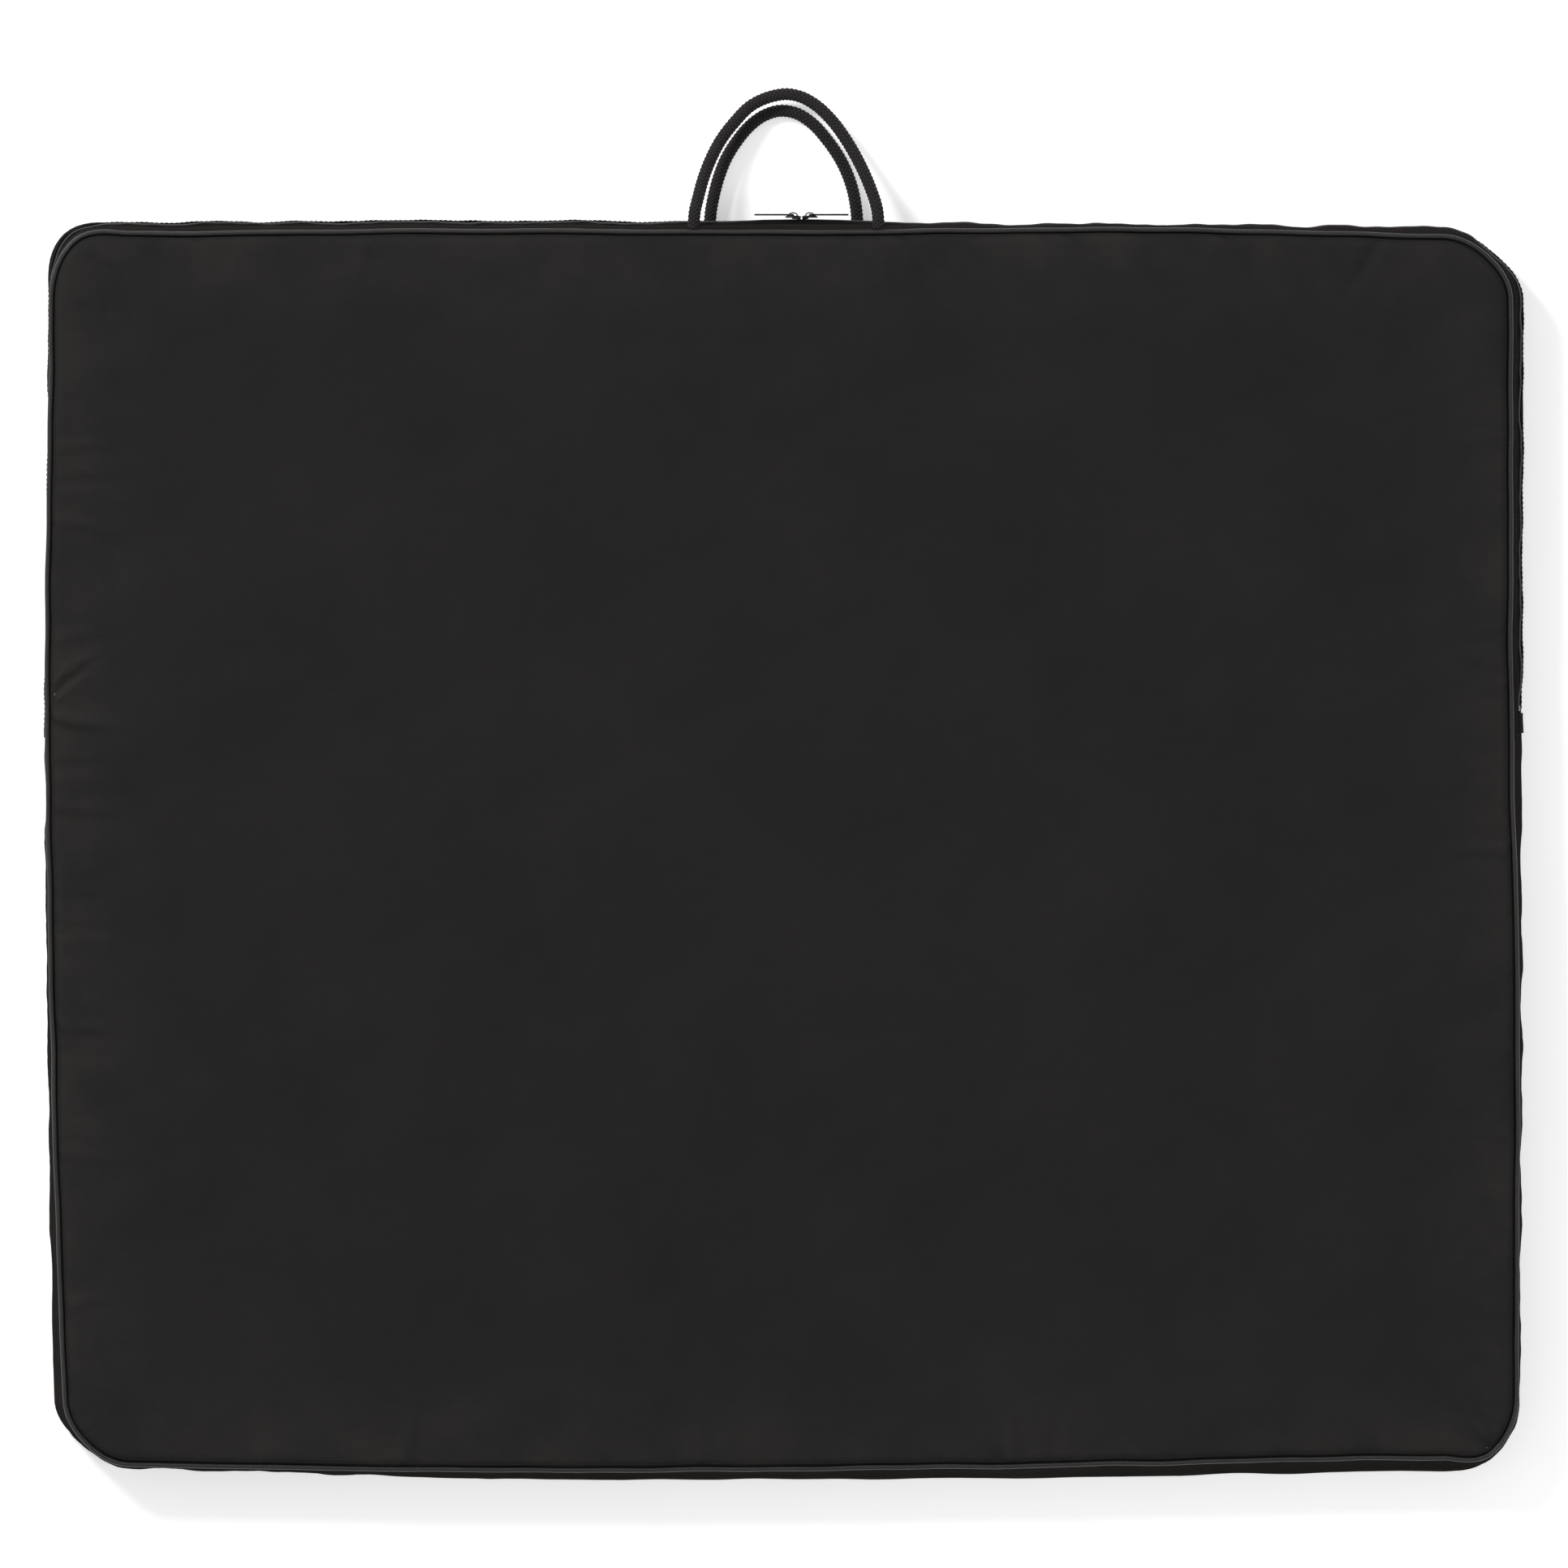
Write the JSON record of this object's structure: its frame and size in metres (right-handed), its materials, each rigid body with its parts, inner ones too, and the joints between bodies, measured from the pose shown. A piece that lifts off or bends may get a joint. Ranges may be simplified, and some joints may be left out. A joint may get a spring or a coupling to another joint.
{
  "type": "portfolio case",
  "caption": "Soft-sided rectangular art portfolio case with welted edges, a zipped top flap with paired sliders, a narrow gusset and rope carrying handles.",
  "frame": {"origin": "centre of the back face, on the surface that the case lies on", "axes": "+X along the width, +Y towards the zipped top edge and the handles, +Z out through the front panel"},
  "size_m": [1.067, 1.0075, 0.05],
  "materials": {
    "cover_fabric": "black coated basket-weave nylon, soft sheen",
    "gusset_fabric": "black coated woven nylon",
    "welt_fabric": "black bias-cut welt over a cord",
    "lining_fabric": "dark grey plain-weave lining",
    "binding_tape": "black ribbed binding tape",
    "foam": "grey closed-cell padding",
    "board": "black twin-wall plastic sheet",
    "zip_tape": "black herringbone zip tape",
    "zip_coil": "black nylon coil",
    "zip_metal": "dark nickel, worn at its edges",
    "rope": "black braided cord"
  },
  "bodies": {
    "case": {"back_cover": "cover_fabric", "back_foam": "foam", "back_board": "board", "back_lining": "lining_fabric", "back_seam_binding": "binding_tape", "back_piping": "welt_fabric", "front_cover_lower": "cover_fabric", "front_foam_lower": "foam", "front_lining_lower": "lining_fabric", "front_seam_binding_lower": "binding_tape", "front_piping_lower": "welt_fabric", "gusset_lower": "gusset_fabric", "gusset_rear": "gusset_fabric", "zip_tape_rear": "zip_tape", "zip_coil_rear": "zip_coil", "zip_end_tab_left": "gusset_fabric", "zip_end_tab_right": "gusset_fabric", "zip_stop_left": "zip_metal", "zip_stop_right": "zip_metal", "rear_handle_anchor_left": "gusset_fabric", "rear_handle_anchor_right": "gusset_fabric"},
    "flap": {"flap_cover": "cover_fabric", "flap_foam": "foam", "flap_lining": "lining_fabric", "flap_seam_binding": "binding_tape", "flap_piping": "welt_fabric", "gusset_front": "gusset_fabric", "zip_tape_front": "zip_tape", "zip_coil_front": "zip_coil", "front_handle_anchor_left": "gusset_fabric", "front_handle_anchor_right": "gusset_fabric"},
    "front_handle": {"front_handle_rope": "rope"},
    "rear_handle": {"rear_handle_rope": "rope"},
    "left_slider": {"left_slider": "zip_metal"},
    "right_slider": {"right_slider": "zip_metal"},
    "left_pull_tab": {"left_pull_tab": "zip_metal"},
    "right_pull_tab": {"right_pull_tab": "zip_metal"}
  },
  "joints": [
    {"name": "flap_fold", "type": "hinge", "parent": "case", "child": "flap", "pos_m": [0, 0.1, 0.0505], "axis": [1, 0, 0], "range_deg": [0, 150]},
    {"name": "front_handle_swing", "type": "hinge", "parent": "flap", "child": "front_handle", "pos_m": [0, 0.4622, 0.041], "axis": [1, 0, 0], "range_deg": [0, 105]},
    {"name": "rear_handle_swing", "type": "hinge", "parent": "case", "child": "rear_handle", "pos_m": [0, 0.4622, 0.009], "axis": [1, 0, 0], "range_deg": [0, 90]},
    {"name": "left_slider_travel", "type": "slide", "parent": "case", "child": "left_slider", "axis": [-1, 0, 0], "range_m": [0, 0.46]},
    {"name": "right_slider_travel", "type": "slide", "parent": "case", "child": "right_slider", "axis": [1, 0, 0], "range_m": [0, 0.445]},
    {"name": "left_pull_tab_swing", "type": "hinge", "parent": "left_slider", "child": "left_pull_tab", "pos_m": [0.0048, 0.459, 0.025], "axis": [0, 0, -1], "range_deg": [0, 90]},
    {"name": "right_pull_tab_swing", "type": "hinge", "parent": "right_slider", "child": "right_pull_tab", "pos_m": [0.0168, 0.459, 0.025], "axis": [0, 0, 1], "range_deg": [0, 90]}
  ]
}
